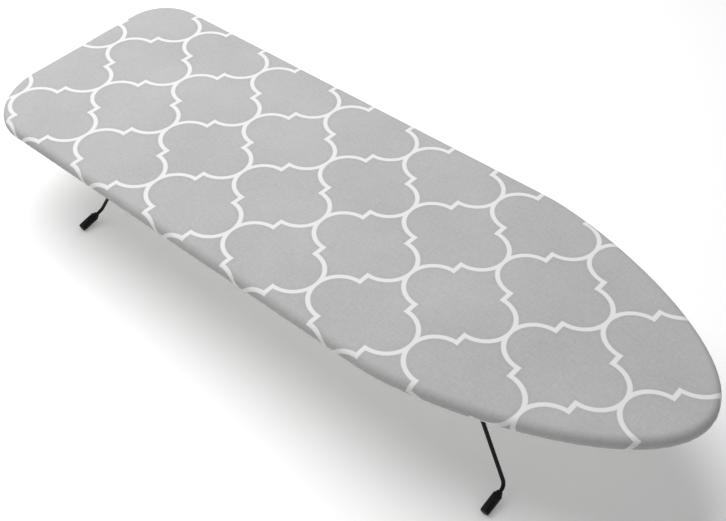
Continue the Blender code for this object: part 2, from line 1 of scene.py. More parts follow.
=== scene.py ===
# %% [markdown]
# # A tabletop ironing board with folding wire legs
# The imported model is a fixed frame: steel top, rim, channels, brackets and two wire legs, each
# piece in its final place. This script dresses that frame. It makes the printed cotton cover, the
# foam under it and the elastic in its hem, refines the pressed steel and the legs, and gives every
# piece a finish built from shader nodes.

# %% Load the frame
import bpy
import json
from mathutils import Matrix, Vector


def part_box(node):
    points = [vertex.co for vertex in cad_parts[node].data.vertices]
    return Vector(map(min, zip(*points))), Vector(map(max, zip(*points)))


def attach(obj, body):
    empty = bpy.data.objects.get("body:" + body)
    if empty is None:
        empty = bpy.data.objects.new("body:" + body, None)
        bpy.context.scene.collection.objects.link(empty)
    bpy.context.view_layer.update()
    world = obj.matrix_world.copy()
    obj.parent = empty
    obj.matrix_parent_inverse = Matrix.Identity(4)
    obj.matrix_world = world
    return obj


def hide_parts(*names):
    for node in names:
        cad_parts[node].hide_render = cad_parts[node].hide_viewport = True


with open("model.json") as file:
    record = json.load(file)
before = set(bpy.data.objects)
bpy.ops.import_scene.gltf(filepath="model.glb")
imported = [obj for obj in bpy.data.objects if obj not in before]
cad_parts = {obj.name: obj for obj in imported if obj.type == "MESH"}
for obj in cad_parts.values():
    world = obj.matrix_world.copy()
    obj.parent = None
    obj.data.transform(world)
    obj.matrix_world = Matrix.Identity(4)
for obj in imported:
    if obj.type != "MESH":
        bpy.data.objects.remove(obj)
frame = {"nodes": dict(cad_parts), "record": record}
print("frame nodes", len(frame["nodes"]))

# %% [markdown]
# A few more modules come in here, and the scene is brought up to date before anything is added.

# %% More modules
import json
from math import atan2, cos, pi, radians, sin, sqrt

import bmesh
import bpy
import numpy as np
from mathutils import Vector, noise

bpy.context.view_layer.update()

# %% [markdown]
# The camera stands off the near side of the nose and looks down along the board. Its height and
# lens decide how fast the pattern shrinks towards the tail.

# %% Camera
CAMERA_PLACE = (0.6006, -0.6399, 0.9026)
CAMERA_TURN = radians(41.12)
CAMERA_DIP = radians(44.28)
CAMERA_LENS = 52.63
SENSOR_WIDTH = 36.0

camera = bpy.data.objects.new("camera", bpy.data.cameras.new("camera"))
bpy.context.scene.collection.objects.link(camera)
camera.location = CAMERA_PLACE
camera.rotation_euler = (pi / 2 - CAMERA_DIP, 0.0, CAMERA_TURN)
camera.data.lens = CAMERA_LENS
camera.data.sensor_width = SENSOR_WIDTH
bpy.context.scene.camera = camera
bpy.context.scene.view_settings.view_transform = "Standard"
print("camera", round(Vector(CAMERA_PLACE).length, 2), "m away, lens", CAMERA_LENS, "mm")

# %% [markdown]
# A pale floor and one wide soft lamp show cloth best: the folds shade gently and nothing casts a
# hard shadow. The lamp hangs over the tail, so the light fades towards the nose, and the board's
# sides fall into shade. The floor glows a little itself, like a light table.

# %% Floor and light
FLOOR_SIZE = 12.0
LAMP_PLACE = (-0.76, 0.05, 1.80)
LAMP_AIM = (-0.1, 0.0, 0.1)
LAMP_SIZE = 2.0
LAMP_POWER = 38.5
ROOM_LIGHT = 0.28


def add_lamp(name, place, aim, size, power):
    lamp = bpy.data.objects.new(name, bpy.data.lights.new(name, "AREA"))
    lamp.data.shape = "DISK"
    lamp.data.size = size
    lamp.data.energy = power
    lamp.location = place
    lamp.rotation_euler = (Vector(aim) - Vector(place)).to_track_quat("-Z", "Y").to_euler()
    bpy.context.scene.collection.objects.link(lamp)


floor_mesh = bpy.data.meshes.new("floor")
floor_shape = bmesh.new()
bmesh.ops.create_grid(floor_shape, x_segments=1, y_segments=1, size=FLOOR_SIZE / 2)
floor_shape.to_mesh(floor_mesh)
floor_shape.free()
floor = bpy.data.objects.new("floor", floor_mesh)
bpy.context.scene.collection.objects.link(floor)

add_lamp("overhead", LAMP_PLACE, LAMP_AIM, LAMP_SIZE, LAMP_POWER)
world = bpy.data.worlds.new("studio")
world.use_nodes = True
room = world.node_tree.nodes["Background"]
room.inputs["Color"].default_value = (1.0, 1.0, 1.0, 1.0)
room.inputs["Strength"].default_value = ROOM_LIGHT
bpy.context.scene.world = world
print("lamp", LAMP_POWER, "W, room light", ROOM_LIGHT)

# %% [markdown]
# Shader maths reads like the sum it stands for when a socket is wrapped in a small class whose
# operators add Math nodes. Every other node comes from its one method, which takes the node's type,
# its settings and the values or links of its inputs.

# %% Shader expressions


class Signal:
    """A node tree's socket that can stand in a sum."""

    def __init__(self, tree, socket=None):
        self.tree = tree
        self.socket = socket

    def node(self, kind, settings=None, inputs=None, output=0):
        made = self.tree.nodes.new(kind)
        for name, value in (settings or {}).items():
            if name == "stops":
                for number, (place, colour) in enumerate(value):
                    stop = made.color_ramp.elements[number] if number < 2 else None
                    stop = stop or made.color_ramp.elements.new(place)
                    stop.position = place
                    stop.color = colour
            else:
                setattr(made, name, value)
        for name, value in (inputs or {}).items():
            if isinstance(value, Signal):
                self.tree.links.new(value.socket, made.inputs[name])
            else:
                made.inputs[name].default_value = value
        return Signal(self.tree, made.outputs[output])

    def math(self, operation, *values):
        inputs = dict(enumerate(values))
        return self.node("ShaderNodeMath", {"operation": operation}, inputs)

    def __add__(self, other):
        return self.math("ADD", self, other)

    def __sub__(self, other):
        return self.math("SUBTRACT", self, other)

    def __rsub__(self, other):
        return self.math("SUBTRACT", other, self)

    def __mul__(self, other):
        return self.math("MULTIPLY", self, other)

    def __truediv__(self, other):
        return self.math("DIVIDE", self, other)

    def __pow__(self, other):
        return self.math("POWER", self, other)

    def __abs__(self):
        return self.math("ABSOLUTE", self)

    __radd__ = __add__
    __rmul__ = __mul__


print("a Signal adds Math nodes for + - * / ** and abs")

# %% [markdown]
# Some sums have no operator in Python, such as the larger of two values, so each gets a short
# function named for what it does. Colours take Mix nodes instead, since a Math node would turn
# them grey.

# %% Sums and colours without an operator


def larger(a, b):
    return a.math("MAXIMUM", a, b)


def smaller(a, b):
    return a.math("MINIMUM", a, b)


def root(a):
    return a.math("SQRT", a)


def wave(a):
    return a.math("SINE", a)


def limited(a):
    """A value kept between 0 and 1."""
    return a.node("ShaderNodeClamp", None, {"Value": a})


def blend_colours(share, first, second):
    inputs = {0: share, 6: first, 7: second}
    return share.node("ShaderNodeMix", {"data_type": "RGBA"}, inputs, 2)


def shaded(colour, amount):
    """A colour made lighter or darker by a signal around 1."""
    grey = amount.node("ShaderNodeCombineColor", None, {0: amount, 1: amount, 2: amount})
    settings = {"data_type": "RGBA", "blend_type": "MULTIPLY"}
    return amount.node("ShaderNodeMix", settings, {0: 1.0, 6: colour, 7: grey}, 2)


print("colours are blended or shaded")

# %% [markdown]
# A pattern starts from a place on the surface, as three signals. Noise at a real scale gives
# uneven dye, dust or grain, and a bump node turns a height into shading far finer than a mesh
# could carry.

# %% Places, noise and relief


def parts_of(vector):
    """The x, y and z signals of a vector."""
    split = vector.tree.nodes.new("ShaderNodeSeparateXYZ")
    vector.tree.links.new(vector.socket, split.inputs[0])
    return [Signal(vector.tree, out) for out in split.outputs]


def joined(x, y, z):
    """A vector from three numbers, at least one of them a signal."""
    start = next(value for value in (x, y, z) if isinstance(value, Signal))
    return start.node("ShaderNodeCombineXYZ", None, {0: x, 1: y, 2: z})


def speckle(vector, scale, detail=3.0, roughness=0.55):
    """Noise from 0 to 1 at a scale in waves per metre."""
    inputs = {"Vector": vector, "Scale": scale, "Detail": detail, "Roughness": roughness}
    return vector.node("ShaderNodeTexNoise", None, inputs)


def raised(height, strength, distance):
    """A bumped normal from a height signal."""
    inputs = {"Height": height, "Strength": strength, "Distance": distance}
    return height.node("ShaderNodeBump", None, inputs)


print("noise is set in waves per metre, relief in metres")

# %% [markdown]
# Each finish starts the same way: a material whose plain values sit on the Principled shader, and a
# signal to grow its nodes from. What varies over the surface is linked afterwards.

# %% Start a finish


def new_finish(name, **values):
    """A material with plain values set, a signal to start from, and its shader."""
    material = bpy.data.materials.new(name)
    material.use_nodes = True
    tree = material.node_tree
    shader = tree.nodes["Principled BSDF"]
    for socket, value in values.items():
        shader.inputs[socket.replace("_", " ")].default_value = value
    return material, Signal(tree), shader


def link_finish(tree, shader, **signals):
    """Links what varies over the surface."""
    for socket, signal in signals.items():
        tree.links.new(signal.socket, shader.inputs[socket.replace("_", " ")])


def object_place(start):
    """A point's own place on the board, in metres."""
    return start.node("ShaderNodeTexCoord", output=3)


print("finishes start from the Principled shader")

# %% [markdown]
# The floor is matt and white. A faint cloudiness keeps it from looking like a blank page.

# %% Floor finish
floor_finish, start, shader = new_finish("light table", Roughness=0.9, Emission_Strength=0.16)
shader.inputs["Emission Color"].default_value = (1.0, 1.0, 1.0, 1.0)
cloud = speckle(object_place(start), 1.5)
pale = shaded((0.93, 0.93, 0.93, 1.0), 0.985 + cloud * 0.03)
link_finish(start.tree, shader, Base_Color=pale)
floor.data.materials.append(floor_finish)
print("floor finish", floor_finish.name)

# %% [markdown]
# The print is a trellis of four-lobed cells. The pattern repeats by reflection, so folding the
# cloth's coordinates back and forth leaves one small panel to draw: two round lobes and the short
# upright that joins them. The line is wherever the nearest of the three is closer than half its
# width. Taking the larger of two distances, and not the true one, keeps the notch's corners
# square. Pulling a cover on never leaves its print quite even: it is drawn out towards the nose,
# and a little slack lies short of the tail.

# %% Trellis print
PRINT_START = (0.01551, 0.03836)
PRINT_TURN = 0.0036
CELL_ALONG = 0.0613
CELL_ACROSS = 0.07425
LOBE_RADIUS = 0.0309
NOTCH_HALF = 0.0059
LINE_HALF = 0.00245
LINE_SOFTNESS = 0.0010
POOL_WIDTH = 0.0070
NOSE_DRAW_FROM = 0.27
NOSE_DRAW = 0.041
NOSE_DRAW_GROWTH = 1.2
NOSE_SHEAR = 0.0135
SLACK_PLACE = -0.14
SLACK_LENGTH = 0.152
SLACK = 0.0015


def drawn_on(u, v):
    """Where a point of the cloth was before the cover was drawn on."""
    ahead = larger(u - NOSE_DRAW_FROM, 0.0)
    behind = smaller(u - SLACK_PLACE, SLACK_LENGTH) / SLACK_LENGTH
    shift = (1.0 - behind * behind) * SLACK + ahead**NOSE_DRAW_GROWTH * NOSE_DRAW
    return u - shift, v - ahead * NOSE_SHEAR


def trellis_line(u, v):
    """1 on the pale line and 0 in the grey cells, and a signal that rises beside the line."""
    u, v = drawn_on(u, v)
    along = u * cos(PRINT_TURN) - v * sin(PRINT_TURN)
    along = along - PRINT_START[0]
    across = u * sin(PRINT_TURN) + v * cos(PRINT_TURN)
    across = across - PRINT_START[1]
    a = along.math("PINGPONG", along, CELL_ALONG) - CELL_ALONG / 2
    b = across.math("PINGPONG", across, CELL_ACROSS)
    low_lobe = abs(root(a * a + b * b) - LOBE_RADIUS)
    c = b - CELL_ACROSS
    high_lobe = abs(root(a * a + c * c) - LOBE_RADIUS)
    upright = larger(abs(a), abs(b - CELL_ACROSS / 2) - NOTCH_HALF)
    nearest = smaller(larger(low_lobe, 0.0 - a), larger(high_lobe, a))
    nearest = smaller(nearest, upright)
    line = limited((LINE_HALF - nearest) / LINE_SOFTNESS + 0.5)
    beside = limited(1.0 - (nearest - LINE_HALF) / POOL_WIDTH)
    return line, beside


print("trellis cells", CELL_ALONG * 2, "by", CELL_ACROSS * 2, "m")

# %% [markdown]
# Printed cotton is matt, with a trace of fuzz that catches light at a grazing angle. Its threads
# run along and across the board, a few are thicker than the rest, and the dye takes unevenly. The
# dye sits on the yarn, so base colour and roughness are where the print belongs, and a small bump
# lifts the threads.

# %% Printed cotton
THREAD = 0.00042
GREY_DYE = (0.445, 0.445, 0.445, 1.0)
PALE_LINE = (0.775, 0.775, 0.773, 1.0)


def weave_height(u, v):
    """Over-and-under threads, from -1 to 1."""
    return wave(u * (pi / THREAD)) * wave(v * (pi / THREAD))


def slubs(u, v):
    """Thicker threads that run some way along or across the cloth."""
    lengthways = speckle(joined(u * 60.0, v * 650.0, 0.0), 1.0, 2.0)
    crossways = speckle(joined(u * 650.0, v * 60.0, 3.0), 1.0, 2.0)
    return (lengthways + crossways) * 0.5


def make_cotton():
    finish, start, shader = new_finish(
        "printed cotton", Sheen_Weight=0.03, Sheen_Roughness=0.45, Specular_IOR_Level=0.15
    )
    cloth = start.node("ShaderNodeUVMap", {"uv_map": "cut"})
    u, v, _ = parts_of(cloth)
    line, beside = trellis_line(u, v)
    dye = speckle(joined(u, v, 0.0), 8.0, 3.0)
    blotches = speckle(joined(u, v, 5.0), 300.0, 4.0, 0.7)
    fibres = slubs(u, v)
    tone = 0.59 + dye * 0.24 + blotches * 0.34 + fibres * 0.30 - beside * beside * 0.06
    grey = shaded(GREY_DYE, tone)
    pale = shaded(PALE_LINE, 0.98 + fibres * 0.04)
    colour = blend_colours(line, grey, pale)
    height = weave_height(u, v) * 0.3 + fibres * 1.2 + line * 0.12
    rough = 0.84 + fibres * 0.12 - line * 0.05
    bump = raised(height, 0.35, 0.00022)
    link_finish(start.tree, shader, Base_Color=colour, Roughness=limited(rough), Normal=bump)
    return finish


cotton = make_cotton()
print("cotton threads", round(0.001 / THREAD, 1), "per mm")

# %% [markdown]
# The foam is open-celled and off-white. Its pores are Voronoi cells about a millimetre across.

# %% Foam


def make_foam():
    finish, start, shader = new_finish("open foam", Roughness=0.95)
    place = object_place(start)
    pores = place.node("ShaderNodeTexVoronoi", None, {"Vector": place, "Scale": 800.0})
    # Painted shade: the colour darkens towards each pore's middle, where the bump sinks lowest.
    tone = shaded((0.80, 0.78, 0.70, 1.0), 0.86 + pores * 0.16 + speckle(place, 20.0) * 0.06)
    bump = raised(pores, 0.6, 0.0005)
    link_finish(start.tree, shader, Base_Color=tone, Normal=bump)
    return finish


foam = make_foam()
print("finish", foam.name)

# %% [markdown]
# Elastic is a braid. Its crossing strands are two sets of slanting ridges, drawn in the length and
# girth coordinates that the cord's own map carries. The sewing thread is a tight two-ply twist.

# %% Elastic and thread


def make_ridged(name, tone, along_pitch, girth_turns, crossing):
    """Yarn ridges that slant round a cord, in one direction or in both."""
    finish, start, shader = new_finish(name, Roughness=0.78, Sheen_Weight=0.15)
    u, v, _ = parts_of(start.node("ShaderNodeUVMap", {"uv_map": "length"}))
    slant = u * (2 * pi / along_pitch)
    ridges = wave(slant + v * (2 * pi * girth_turns))
    if crossing:
        ridges = larger(ridges, wave(slant - v * (2 * pi * girth_turns)))
    # Painted shade and highlight: the colour is darker in the grooves between ridges and lighter on
    # their tops.
    colour = shaded(tone, 0.90 + ridges * 0.07 + speckle(joined(u, v, 0.0), 300.0) * 0.05)
    link_finish(start.tree, shader, Base_Color=colour, Normal=raised(ridges, 0.6, 0.0002))
    return finish


braid = make_ridged("white braid", (0.84, 0.84, 0.82, 1.0), 0.0012, 4, True)
thread = make_ridged("grey thread", (0.62, 0.62, 0.63, 1.0), 0.0005, 2, False)
print("finishes", braid.name, "and", thread.name)

# %% [markdown]
# The pressed steel carries white powder coat. Powder melts into a fine orange peel, thins on sharp
# edges and greys slightly where parts rub.

# %% White powder coat


def edge_wear(start, low, high):
    """1 on convex edges, 0 on flats."""
    point = start.node("ShaderNodeNewGeometry", output="Pointiness")
    return limited((point - low) / (high - low))


def make_white_coat():
    finish, start, shader = new_finish("white powder coat", Specular_IOR_Level=0.45)
    place = object_place(start)
    peel = speckle(place, 900.0, 2.0)
    dust = speckle(place, 14.0, 4.0)
    worn = edge_wear(start, 0.53, 0.60) * limited(speckle(place, 120.0) * 4.0 - 1.9)
    coat = shaded((0.76, 0.76, 0.75, 1.0), 0.94 + dust * 0.10)
    colour = blend_colours(worn * 0.6, coat, (0.34, 0.34, 0.34, 1.0))
    rough = 0.36 + dust * 0.16 + peel * 0.05
    bump = raised(peel, 0.25, 0.0003)
    link_finish(start.tree, shader, Base_Color=colour, Roughness=rough, Normal=bump)
    return finish


white_coat = make_white_coat()
print("finish", white_coat.name)

# %% [markdown]
# The rivets are zinc plated: bright metal, brushed faintly round by the setting tool.

# %% Zinc


def make_zinc():
    finish, start, shader = new_finish("zinc plate", Metallic=1.0)
    place = object_place(start)
    patches = speckle(place, 260.0, 4.0)
    scratches = speckle(place, 2600.0, 2.0)
    colour = shaded((0.60, 0.60, 0.58, 1.0), 0.80 + patches * 0.35)
    rough = 0.22 + patches * 0.22 + scratches * 0.08
    bump = raised(scratches, 0.15, 0.0001)
    link_finish(start.tree, shader, Base_Color=colour, Roughness=rough, Normal=bump)
    return finish


zinc = make_zinc()
print("finish", zinc.name)

# %% [markdown]
# The legs are black coated wire, satin with a fine texture and small scuffs. The caps on
# their feet are softer and duller, and pick up a little grey dust.

# %% Black wire and caps


def make_black(name, tone, rough_low, grain, dust_tone, dust_share):
    finish, start, shader = new_finish(name, Specular_IOR_Level=0.22)
    place = object_place(start)
    texture = speckle(place, grain, 3.0)
    scuffs = limited(speckle(place, 170.0, 5.0, 0.7) * 5.0 - 2.9)
    colour = blend_colours(scuffs * dust_share, tone, dust_tone)
    rough = rough_low + texture * 0.16 + scuffs * 0.12
    bump = raised(texture, 0.22, 0.0002)
    link_finish(start.tree, shader, Base_Color=colour, Roughness=rough, Normal=bump)
    return finish


PAINT = (0.0050, 0.0050, 0.0052, 1.0)
PAINT_DUST = (0.03, 0.03, 0.03, 1.0)
PLASTIC = (0.0045, 0.0045, 0.0046, 1.0)
PLASTIC_DUST = (0.05, 0.05, 0.05, 1.0)
black_wire = make_black("black wire coat", PAINT, 0.30, 1400.0, PAINT_DUST, 0.5)
black_cap = make_black("black soft plastic", PLASTIC, 0.44, 700.0, PLASTIC_DUST, 0.35)
print("finishes", black_wire.name, "and", black_cap.name)

# %% [markdown]
# The storage clips are white nylon: slightly milky, smooth, with faint flow marks from moulding.

# %% Nylon


def make_nylon():
    finish, start, shader = new_finish("white nylon", Specular_IOR_Level=0.5)
    place = object_place(start)
    x, y, z = parts_of(place)
    flow = speckle(joined(x * 120.0, y * 500.0, z * 120.0), 1.0, 3.0)
    colour = shaded((0.84, 0.84, 0.82, 1.0), 0.95 + flow * 0.08)
    rough = 0.38 + flow * 0.14
    bump = raised(flow, 0.1, 0.0003)
    link_finish(start.tree, shader, Base_Color=colour, Roughness=rough, Normal=bump)
    return finish


nylon = make_nylon()
print("finish", nylon.name)

# %% [markdown]
# Every soft layer follows the board's outline: straight sides, a long nose that is one smooth
# curve, and a square tail with rounded corners. A Bezier curve draws it from seven points, with its
# ends on the frame's own box, so that it stays as smooth as a real bent rim.

# %% The board's outline
NOSE_LENGTH = 0.2840
NOSE_SHOULDER_PULL = 0.0721
NOSE_TIP_PULL = 0.0948
FAR_CORNER_RADIUS = 0.0600
NEAR_CORNER_RADIUS = 0.0900
ROUND_PULL = 0.5523

cover_low, cover_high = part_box("board_cover")
HALF_WIDTH = cover_high.y
TIP = cover_high.x
TAIL = cover_low.x


def outline_curve():
    """The outline before it is skewed, as a closed Bezier curve."""
    shoulder = TIP - NOSE_LENGTH
    far, near = FAR_CORNER_RADIUS, NEAR_CORNER_RADIUS
    h = HALF_WIDTH
    stops = [
        ((shoulder, h), (-0.02, 0), (NOSE_SHOULDER_PULL, 0)),
        ((TIP, 0), (0, NOSE_TIP_PULL), (0, -NOSE_TIP_PULL)),
        ((shoulder, -h), (NOSE_SHOULDER_PULL, 0), (-0.02, 0)),
        ((TAIL + near, -h), (0.02, 0), (-ROUND_PULL * near, 0)),
        ((TAIL, near - h), (0, -ROUND_PULL * near), (0, 0.02)),
        ((TAIL, h - far), (0, -0.02), (0, ROUND_PULL * far)),
        ((TAIL + far, h), (-ROUND_PULL * far, 0), (0.02, 0)),
    ]
    data = bpy.data.curves.new("outline", "CURVE")
    data.resolution_u = 200
    spline = data.splines.new("BEZIER")
    spline.bezier_points.add(len(stops) - 1)
    for point, (place, back, on) in zip(spline.bezier_points, stops):
        point.co = (*place, 0.0)
        point.handle_left = (place[0] + back[0], place[1] + back[1], 0.0)
        point.handle_right = (place[0] + on[0], place[1] + on[1], 0.0)
    spline.use_cyclic_u = True
    return data


print("board", round(TIP - TAIL, 4), "m long and", round(HALF_WIDTH * 2, 4), "m wide")

# %% [markdown]
# The tail is cut a little askew, which is easier to do to points than to the curve. Resampling
# at even steps then gives points a few millimetres apart, which suit cloth better than the curve's
# own uneven ones.

# %% Even steps round the outline
TAIL_SKEW = 0.0092
TAIL_SKEW_LENGTH = 0.1187
OUTLINE_POINTS = 704


def skewed(points):
    """The tail's far corner reaches further back than its near one."""
    share = np.clip(1 - (points[:, 0] - TAIL) / TAIL_SKEW_LENGTH, 0, 1)
    lean = TAIL_SKEW * share * points[:, 1] / HALF_WIDTH
    moved = points.copy()
    moved[:, 0] -= lean
    moved[:, 0] += (TAIL - moved[:, 0].min()) * share
    return moved


def even_outline(count):
    """Points at even steps round the outline from the nose's tip, and the way inwards at each."""
    curve = bpy.data.objects.new("outline", outline_curve())
    bpy.context.scene.collection.objects.link(curve)
    bpy.context.view_layer.update()
    graph = bpy.context.evaluated_depsgraph_get()
    mesh = bpy.data.meshes.new_from_object(curve.evaluated_get(graph))
    raw = skewed(np.array([v.co[:2] for v in mesh.vertices]))
    bpy.data.objects.remove(curve)
    bpy.data.meshes.remove(mesh)
    raw = np.roll(raw, -int(raw[:, 0].argmax()), axis=0)
    loop = np.vstack([raw, raw[:1]])
    run = np.concatenate([[0], np.cumsum(np.hypot(*np.diff(loop, axis=0).T))])
    wanted = np.arange(count) * run[-1] / count
    points = np.column_stack([np.interp(wanted, run, loop[:, axis]) for axis in (0, 1)])
    tangent = np.roll(points, -1, axis=0) - np.roll(points, 1, axis=0)
    tangent /= np.hypot(*tangent.T)[:, None]
    inward = np.column_stack([tangent[:, 1], -tangent[:, 0]])
    return points, inward, run[-1]


outline, inward, girth = even_outline(OUTLINE_POINTS)
print("outline", len(outline), "points,", round(girth, 3), "m round")

# %% [markdown]
# The cloth has to bunch wherever the edge turns, because a flat sheet has more length out at its
# hem than the hem's loop has room for. How sharply the outline turns therefore says how strong the
# puckers are: faint ones along the sides, deep ones round the nose and the tail's corners.

# %% Where the cloth bunches
PUCKER_LENGTHS = (0.0093, 0.0137, 0.0216)
TURN_REACH = 20
LEAST_BUNCH = 0.40


def turning(inward):
    """How sharply the outline turns at each point, from 0 on the straights to 1, smoothed."""
    ahead = np.roll(inward, -1, axis=0)
    turn = np.abs(inward[:, 0] * ahead[:, 1] - inward[:, 1] * ahead[:, 0])
    kernel = np.hanning(2 * TURN_REACH + 1)
    padded = np.concatenate([turn[-TURN_REACH:], turn, turn[:TURN_REACH]])
    smooth = np.convolve(padded, kernel / kernel.sum(), "valid")
    return smooth / smooth.max()


def puckers(count, girth):
    """Uneven folds round the edge, from 0 to 1, that meet where the loop closes."""
    run = np.arange(count) * girth / count
    total = np.zeros(count)
    for number, length in enumerate(PUCKER_LENGTHS):
        folds = round(girth / length)
        drift = [noise.noise(Vector((cos(t), sin(t), number)) * 3.1) for t in 2 * pi * run / girth]
        total += np.sin(2 * pi * folds * run / girth + 5.0 * np.array(drift)) / (number + 1.6)
    total -= total.min()
    return total / total.max()


bend = turning(inward)
bunch = puckers(len(outline), girth) * (LEAST_BUNCH + (1 - LEAST_BUNCH) * bend)
print("puckers up to", round(float(bunch.max()), 2))

# %% [markdown]
# A flat top still isn't a perfect plane: the foam gives in places. One function says how far
# the surface dips at a point, and the cover and the foam both follow it, so that they never cross.

# %% How the top dips
DIP_DEPTH = 0.0011


def dip(x, y):
    """How far the padded surface sits below its highest level, most unevenly towards the tail."""
    broad = noise.noise(Vector((x * 9.0, y * 12.0, 0.4)))
    fine = noise.noise(Vector((x * 24.0, y * 28.0, 7.7)))
    unevenness = 0.65 - 0.35 * x / TIP
    return DIP_DEPTH * unevenness * (0.5 + 0.42 * broad + 0.24 * fine)


print("dip at the middle", round(dip(0.0, 0.0) * 1000, 2), "mm")

# %% [markdown]
# A layer is built as rows of edges. The first row is a circle pushed onto the outline, and
# each further row is an extrusion of the last one, moved to its place. The top closes on a line
# along the board's middle, where the last row's points meet in pairs.

# %% Rows that follow the outline


def next_row(shape, row):
    """Extrudes a closed row of points and returns the new row in the same order."""
    edges = [shape.edges.get(pair) for pair in zip(row, row[1:] + row[:1])]
    made = bmesh.ops.extrude_edge_only(shape, edges=edges)["geom"]
    fresh = {item for item in made if isinstance(item, bmesh.types.BMVert)}
    return [next(e.other_vert(v) for e in v.link_edges if e.other_vert(v) in fresh) for v in row]


def first_row(shape, count):
    """A closed row of points to start from."""
    return bmesh.ops.create_circle(shape, segments=count, radius=1.0)["verts"]


def place_row(row, points, heights):
    """Moves a row's points to their places, at one height or at one each."""
    for vert, point, height in zip(row, points, np.broadcast_to(heights, len(row))):
        vert.co = (point[0], point[1], height)


def spine(points):
    """Where each outline point and its partner across the board meet, on the board's middle."""
    partners = np.roll(points[::-1], 1, axis=0)
    along = (points[:, 0] + partners[:, 0]) / 2
    reach = HALF_WIDTH * 0.9
    middle = np.clip(along * 0.80 + 0.010, TAIL + reach, TIP - reach)
    return np.column_stack([middle, np.zeros(len(points))])


middle_run = np.ptp(spine(outline)[:, 0])
print("the top closes on a line", round(float(middle_run), 3), "m long")

# %% [markdown]
# The cover's section is drawn once, as pairs of how far in from the edge and how high: round the
# padded edge, down the side, in under the rim, along the lip and round the elastic. The length
# along this section is also how far the print has travelled over the edge, so the flat coordinates
# of the cut cloth come from it.

# %% The cover's section
CLOTH_THICKNESS = 0.0009
EDGE_ACROSS = 0.0085
EDGE_DOWN = 0.0080
RIM_GAP = 0.0005
LOWER_ROUND = 0.0044
HEM_INSET = 0.0278
HEM_RADIUS = 0.0019
HEM_TURN = radians(255)
HEM_DROP = 0.0004
TOP_LEVEL = cover_high.z
RIM_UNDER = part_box("rim_tube")[0].z
LIP_LEVEL = RIM_UNDER - RIM_GAP - CLOTH_THICKNESS
HEM_LEVEL = RIM_UNDER - RIM_GAP - HEM_RADIUS - HEM_DROP
HEM_LOW = HEM_LEVEL - HEM_RADIUS


def cover_section():
    """(inset, height) pairs from the top's edge to the end of the hem."""
    pairs = []
    for t in np.linspace(0, pi / 2, 9):
        pairs.append((EDGE_ACROSS * (1 - sin(t)), TOP_LEVEL - EDGE_DOWN * (1 - cos(t))))
    for t in np.linspace(0, pi / 2, 5):
        pairs.append((LOWER_ROUND * (1 - cos(t)), LIP_LEVEL + LOWER_ROUND * (1 - sin(t))))
    for share in np.linspace(0.14, 1, 7):
        inset = LOWER_ROUND + (HEM_INSET - LOWER_ROUND) * share
        pairs.append((inset, LIP_LEVEL + (HEM_LOW - LIP_LEVEL) * share))
    for t in np.linspace(0, HEM_TURN, 11)[1:]:
        pairs.append((HEM_INSET + HEM_RADIUS * sin(t), HEM_LEVEL - HEM_RADIUS * cos(t)))
    return np.array(pairs)


section = cover_section()
steps = np.hypot(*np.diff(section, axis=0).T)
travel = np.concatenate([[0], np.cumsum(steps)])
print("cloth from the top's edge to the hem:", round(float(travel[-1]) * 1000, 1), "mm")

# %% [markdown]
# Puckers push the cover's side out a little, and pull its lip down more the nearer it is to the
# elastic. So each row of the section becomes a row of points that knows how far it shares in the
# folds of the side and of the lip.

# %% Rows with puckers
LIP_START = 0.0040
SIDE_PUCKER = 0.0011
LIP_GATHER = 0.0012
LIP_PUCKER = 0.0028


def pucker_share(inset, height):
    """How far a row has gone from the flat top to the hem, as (side, lip) shares."""
    side = min(max((TOP_LEVEL - height) / (TOP_LEVEL - LIP_LEVEL), 0.0), 1.0)
    if height > LIP_LEVEL + LOWER_ROUND / 2:
        return side**2, 0.0
    lip = min(max((inset - LIP_START) / (HEM_INSET - HEM_RADIUS - LIP_START), 0.0), 1.0)
    return side**2 * (1 - lip), lip


def cover_row(inset, height):
    """Points and heights of one row of the cover, puckers and dips included."""
    side, lip = pucker_share(inset, height)
    out = SIDE_PUCKER * side * bunch - LIP_GATHER * lip * (bunch - bunch.mean())
    points = outline + inward * (inset - out)[:, None]
    sunk = (1 - side) * (1 - lip)
    heights = height - LIP_PUCKER * lip * bunch
    heights = heights - sunk * np.array([dip(x, y) for x, y in points])
    return points, heights


print("section rows", len(section), "down to", round(HEM_LOW, 4), "m")

# %% [markdown]
# Every layer ends in the same way: its bmesh becomes an object, and rows from the top's edge close
# it inwards to the board's middle.

# %% Closing a layer and making its object
TOP_ROWS = 22


def add_mesh_object(name, shape, material):
    """A smooth-shaded object made from a bmesh, which is used up."""
    mesh = bpy.data.meshes.new(name)
    shape.to_mesh(mesh)
    shape.free()
    made = bpy.data.objects.new(name, mesh)
    bpy.context.scene.collection.objects.link(made)
    mesh.materials.append(material)
    mesh.shade_smooth()
    return made


def close_top(shape, row, inset, level, rows):
    """Rows from the top's edge in to the board's middle."""
    edge = outline + inward * inset
    middle = spine(outline)
    for number in range(1, rows + 1):
        share = (number / rows) ** 0.9
        row = next_row(shape, row)
        points = edge + (middle - edge) * share
        place_row(row, points, [level - dip(x, y) for x, y in points])
    bmesh.ops.remove_doubles(shape, verts=row, dist=0.0004)


print("top rows", TOP_ROWS)

# %% [markdown]
# The cover itself: the section's rows go down and under, then the top closes. Each point's place
# on the flat cloth goes into the map called cut, which the print and the weave read, so the print
# runs over the edge as it does on a real cover.

# %% The cover


def map_cut_cloth(mesh, flat_places):
    """Writes each point's place on the flat cloth, in metres, into the map called cut."""
    layer = mesh.uv_layers.new(name="cut")
    corners = np.zeros(len(mesh.loops), np.int32)
    mesh.loops.foreach_get("vertex_index", corners)
    layer.data.foreach_set("uv", flat_places[corners].astype(np.float32).ravel())


